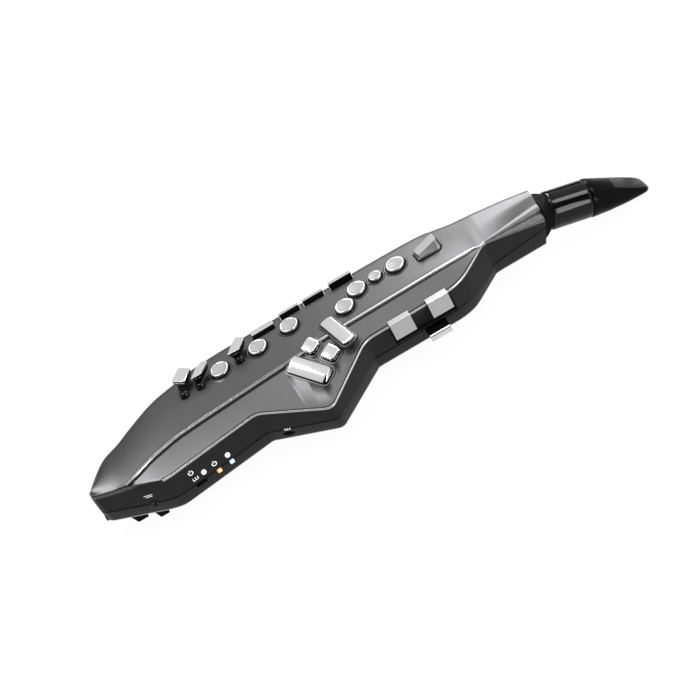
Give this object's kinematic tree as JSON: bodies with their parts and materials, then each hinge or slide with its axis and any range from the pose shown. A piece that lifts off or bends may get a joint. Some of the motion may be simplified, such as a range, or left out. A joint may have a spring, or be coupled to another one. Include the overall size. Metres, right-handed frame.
{
  "type": "digital wind controller",
  "caption": "Electronic wind instrument: long faceted housing with round, bar, lever, palm and side keys, a beak mouthpiece with a reed, thumb hook and strap ring.",
  "frame": {"origin": "centre of the box's floor, on the plane that the two feet and the thumb hook stand on", "axes": "+X from the bell end to the mouthpiece, +Y to the side keys, +Z out of the key panel"},
  "size_m": [0.568, 0.1292, 0.0676],
  "materials": {
    "shell": "satin metallic paint",
    "back": "satin",
    "chrome": "bright plated",
    "pearl": "pearl lacquer",
    "black": "polished",
    "rubber": "matte",
    "board": "solder mask",
    "amber": "lit lens",
    "blue": "lit lens",
    "steel": "polished wire",
    "cell": "printed sleeve"
  },
  "bodies": {
    "housing": {"front_shell": "shell", "back_shell": "back", "neck_collar": "rubber", "mouthpiece_barrel": "black", "phones_socket": "rubber", "power_lamp": "amber", "link_lamp": "blue", "drain_spout": "rubber", "main_board": "board", "key_board": "board", "breath_sensor": "rubber", "breath_tube": "rubber", "cell_1": "cell", "cell_2": "cell", "cell_3": "cell", "cell_4": "cell", "cell_5": "cell", "cell_6": "cell", "foot_1": "rubber", "foot_2": "rubber", "thumb_hook": "rubber", "thumb_rest": "rubber"},
    "round_key_1": {"round_key_1": "pearl"},
    "round_key_2_small": {"round_key_2_small": "pearl"},
    "round_key_3": {"round_key_3": "pearl"},
    "round_key_4": {"round_key_4": "pearl"},
    "round_key_5": {"round_key_5": "pearl"},
    "round_key_6": {"round_key_6": "pearl"},
    "round_key_7": {"round_key_7": "pearl"},
    "table_key_long_upper": {"table_key_long_upper": "chrome"},
    "table_key_square_1": {"table_key_square_1": "chrome"},
    "table_key_square_2": {"table_key_square_2": "chrome"},
    "table_key_long_lower": {"table_key_long_lower": "chrome"},
    "wedge_key": {"wedge_key": "chrome"},
    "side_key_1": {"side_key_1": "chrome"},
    "side_key_2": {"side_key_2": "chrome"},
    "side_key_3": {"side_key_3": "chrome"},
    "side_key_4": {"side_key_4": "chrome"},
    "palm_key_1": {"palm_key_1": "chrome"},
    "palm_key_2": {"palm_key_2": "chrome"},
    "palm_key_3": {"palm_key_3": "chrome"},
    "lever_key_1": {"lever_key_1": "chrome"},
    "lever_key_2": {"lever_key_2": "chrome"},
    "lever_key_3": {"lever_key_3": "chrome"},
    "octave_key_down": {"octave_key_down": "chrome"},
    "octave_key_up": {"octave_key_up": "chrome"},
    "power_switch": {"power_switch": "rubber"},
    "bite_switch": {"bite_switch": "rubber"},
    "mouthpiece": {"mouthpiece": "black"},
    "reed": {"reed": "black"},
    "battery_cover": {"battery_cover": "back"},
    "strap_ring": {"strap_ring": "steel"}
  },
  "joints": [
    {"name": "round_key_1_slide", "type": "slide", "parent": "housing", "child": "round_key_1", "axis": [0, 0, -1], "range_m": [0, 0.002], "stiffness_N_per_m": 400, "springref_m": -0.0012},
    {"name": "round_key_2_small_slide", "type": "slide", "parent": "housing", "child": "round_key_2_small", "axis": [0, 0, -1], "range_m": [0, 0.002], "stiffness_N_per_m": 400, "springref_m": -0.0012},
    {"name": "round_key_3_slide", "type": "slide", "parent": "housing", "child": "round_key_3", "axis": [0, 0, -1], "range_m": [0, 0.002], "stiffness_N_per_m": 400, "springref_m": -0.0012},
    {"name": "round_key_4_slide", "type": "slide", "parent": "housing", "child": "round_key_4", "axis": [0, 0, -1], "range_m": [0, 0.002], "stiffness_N_per_m": 400, "springref_m": -0.0012},
    {"name": "round_key_5_slide", "type": "slide", "parent": "housing", "child": "round_key_5", "axis": [0, 0, -1], "range_m": [0, 0.002], "stiffness_N_per_m": 400, "springref_m": -0.0012},
    {"name": "round_key_6_slide", "type": "slide", "parent": "housing", "child": "round_key_6", "axis": [0, 0, -1], "range_m": [0, 0.002], "stiffness_N_per_m": 400, "springref_m": -0.0012},
    {"name": "round_key_7_slide", "type": "slide", "parent": "housing", "child": "round_key_7", "axis": [0, 0, -1], "range_m": [0, 0.002], "stiffness_N_per_m": 400, "springref_m": -0.0012},
    {"name": "table_key_long_upper_slide", "type": "slide", "parent": "housing", "child": "table_key_long_upper", "axis": [0, 0, -1], "range_m": [0, 0.002], "stiffness_N_per_m": 400, "springref_m": -0.0012},
    {"name": "table_key_square_1_slide", "type": "slide", "parent": "housing", "child": "table_key_square_1", "axis": [0, 0.2607, -0.9654], "range_m": [0, 0.002], "stiffness_N_per_m": 400, "springref_m": -0.0012},
    {"name": "table_key_square_2_slide", "type": "slide", "parent": "housing", "child": "table_key_square_2", "axis": [0, 0.2607, -0.9654], "range_m": [0, 0.002], "stiffness_N_per_m": 400, "springref_m": -0.0012},
    {"name": "table_key_long_lower_slide", "type": "slide", "parent": "housing", "child": "table_key_long_lower", "axis": [0, 0.2607, -0.9654], "range_m": [0, 0.002], "stiffness_N_per_m": 400, "springref_m": -0.0012},
    {"name": "wedge_key_slide", "type": "slide", "parent": "housing", "child": "wedge_key", "axis": [0, 0, -1], "range_m": [0, 0.002], "stiffness_N_per_m": 400, "springref_m": -0.0012},
    {"name": "side_key_1_pivot", "type": "hinge", "parent": "housing", "child": "side_key_1", "pos_m": [-0.00103, 0.05505, 0.05115], "axis": [1, 0.0056, 0], "range_deg": [0, 4.5], "stiffness_Nm_per_rad": 0.12, "springref_deg": -5.16},
    {"name": "side_key_2_pivot", "type": "hinge", "parent": "housing", "child": "side_key_2", "pos_m": [-0.02993, 0.05475, 0.05115], "axis": [0.9999, 0.0148, 0], "range_deg": [0, 4.5], "stiffness_Nm_per_rad": 0.12, "springref_deg": -5.16},
    {"name": "side_key_3_pivot", "type": "hinge", "parent": "housing", "child": "side_key_3", "pos_m": [-0.05491, 0.05438, 0.05115], "axis": [0.9999, 0.0148, 0], "range_deg": [0, 4.5], "stiffness_Nm_per_rad": 0.12, "springref_deg": -5.16},
    {"name": "side_key_4_pivot", "type": "hinge", "parent": "housing", "child": "side_key_4", "pos_m": [-0.08393, 0.04899, 0.05115], "axis": [0.9997, 0.0224, 0], "range_deg": [0, 4.5], "stiffness_Nm_per_rad": 0.12, "springref_deg": -5.16},
    {"name": "palm_key_1_pivot", "type": "hinge", "parent": "housing", "child": "palm_key_1", "pos_m": [0.02507, -0.01865, 0.04494], "axis": [1, 0.0093, 0], "range_deg": [0, 4.5], "stiffness_Nm_per_rad": 0.12, "springref_deg": -5.16},
    {"name": "palm_key_2_pivot", "type": "hinge", "parent": "housing", "child": "palm_key_2", "pos_m": [0.06266, -0.0183, 0.04544], "axis": [1, 0.0093, 0], "range_deg": [0, 4.5], "stiffness_Nm_per_rad": 0.12, "springref_deg": -5.16},
    {"name": "palm_key_3_pivot", "type": "hinge", "parent": "housing", "child": "palm_key_3", "pos_m": [0.0517, -0.01754, 0.02371], "axis": [1, 0, 0], "range_deg": [0, 4], "stiffness_Nm_per_rad": 0.12, "springref_deg": -5.16},
    {"name": "lever_key_1_pivot", "type": "hinge", "parent": "housing", "child": "lever_key_1", "pos_m": [-0.11408, 0.032, 0.05543], "axis": [-1, 0, 0], "range_deg": [0, 5], "stiffness_Nm_per_rad": 0.12, "springref_deg": -5.16},
    {"name": "lever_key_2_pivot", "type": "hinge", "parent": "housing", "child": "lever_key_2", "pos_m": [-0.15565, 0.02781, 0.05543], "axis": [-1, 0, 0], "range_deg": [0, 5], "stiffness_Nm_per_rad": 0.12, "springref_deg": -5.16},
    {"name": "lever_key_3_pivot", "type": "hinge", "parent": "housing", "child": "lever_key_3", "pos_m": [-0.17199, 0.02781, 0.05543], "axis": [-1, 0, 0], "range_deg": [0, 5], "stiffness_Nm_per_rad": 0.12, "springref_deg": -5.16},
    {"name": "octave_key_down_pivot", "type": "hinge", "parent": "housing", "child": "octave_key_down", "pos_m": [0.04662, 0.01232, 0.01425], "axis": [1, 0, 0], "range_deg": [0, 5], "stiffness_Nm_per_rad": 0.12, "springref_deg": -5.16},
    {"name": "octave_key_up_pivot", "type": "hinge", "parent": "housing", "child": "octave_key_up", "pos_m": [0.07452, 0.01232, 0.01425], "axis": [1, 0, 0], "range_deg": [0, 5], "stiffness_Nm_per_rad": 0.12, "springref_deg": -5.16},
    {"name": "power_switch_slide", "type": "slide", "parent": "housing", "child": "power_switch", "axis": [-0.988, -0.1545, 0], "range_m": [-0.0024, 0.0024]},
    {"name": "bite_switch_slide", "type": "slide", "parent": "housing", "child": "bite_switch", "axis": [-0.8976, 0.4409, 0], "range_m": [-0.0024, 0.0024]},
    {"name": "mouthpiece_slide", "type": "slide", "parent": "housing", "child": "mouthpiece", "axis": [0.9659, 0, -0.2588], "range_m": [0, 0.018]},
    {"name": "reed_pivot", "type": "hinge", "parent": "mouthpiece", "child": "reed", "pos_m": [0.24175, 0.02108, 0.0087], "axis": [0, -1, 0], "range_deg": [0, 1.1], "stiffness_Nm_per_rad": 1.5},
    {"name": "battery_cover_slide", "type": "slide", "parent": "housing", "child": "battery_cover", "axis": [0, 0, -1], "range_m": [0, 0.015]},
    {"name": "strap_ring_pivot", "type": "hinge", "parent": "housing", "child": "strap_ring", "pos_m": [0.02742, 0.01486, 0.00817], "axis": [1, 0, 0], "range_deg": [0, 170]}
  ]
}
